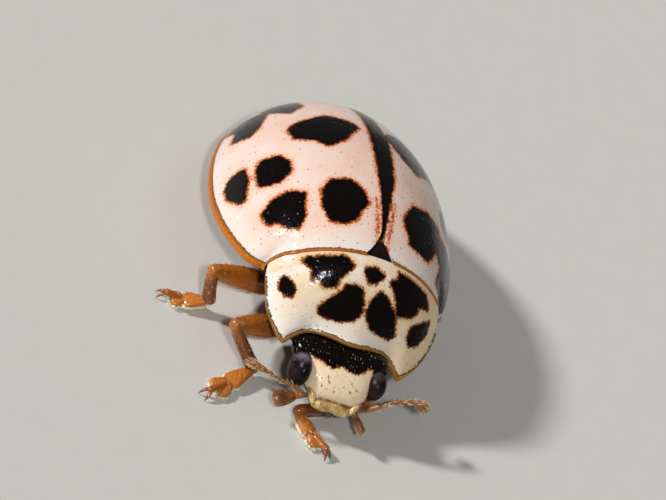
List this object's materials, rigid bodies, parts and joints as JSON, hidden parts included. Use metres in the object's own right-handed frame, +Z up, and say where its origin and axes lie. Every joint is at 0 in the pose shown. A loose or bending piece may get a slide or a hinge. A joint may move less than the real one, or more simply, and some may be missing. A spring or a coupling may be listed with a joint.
{
  "type": "ladybird beetle",
  "caption": "Small domed ladybird beetle standing still on its legs: spotted wing cases, shield-shaped pronotum, lowered head with feelers, jointed legs.",
  "frame": {"origin": "bottom centre of the box around the whole beetle, on the plane its feet stand on", "axes": "+X towards the beetle's left side, +Y towards its rear end, +Z up"},
  "size_m": [0.0042, 0.0052, 0.002],
  "materials": {
    "elytra": "glossy pale pink-cream chitin with black, brown-fringed spots",
    "pronotum": "glossy cream chitin with black spots and a clear brown edge",
    "scutellum": "glossy black chitin",
    "underside": "satin dark brown chitin with fine pits",
    "head": "cream face under a punctured black brow, glossy",
    "eye": "dark purple-grey compound eye with fine facets",
    "leg": "glossy translucent amber-brown chitin with golden bristles",
    "mouthparts": "glossy golden-brown chitin",
    "antenna": "golden-brown chitin with pale bristles"
  },
  "bodies": {
    "root": {"elytron_right": "elytra", "elytron_left": "elytra", "scutellum": "scutellum", "pronotum": "pronotum", "prosternum": "underside", "thorax": "underside", "abdomen": "underside", "head": "head", "eye_right": "eye", "eye_left": "eye", "mouthparts": "mouthparts", "palp_right": "mouthparts", "palp_left": "mouthparts", "antenna_stalk_right": "antenna", "antenna_club_right": "antenna", "antenna_stalk_left": "antenna", "antenna_club_left": "antenna", "femur_front_right": "leg", "tibia_front_right": "leg", "tarsus_front_right": "leg", "femur_front_left": "leg", "tibia_front_left": "leg", "tarsus_front_left": "leg", "femur_middle_right": "leg", "tibia_middle_right": "leg", "tarsus_middle_right": "leg", "femur_middle_left": "leg", "tibia_middle_left": "leg", "tarsus_middle_left": "leg", "femur_hind_right": "leg", "tibia_hind_right": "leg", "tarsus_hind_right": "leg", "femur_hind_left": "leg", "tibia_hind_left": "leg", "tarsus_hind_left": "leg"}
  },
  "joints": []
}
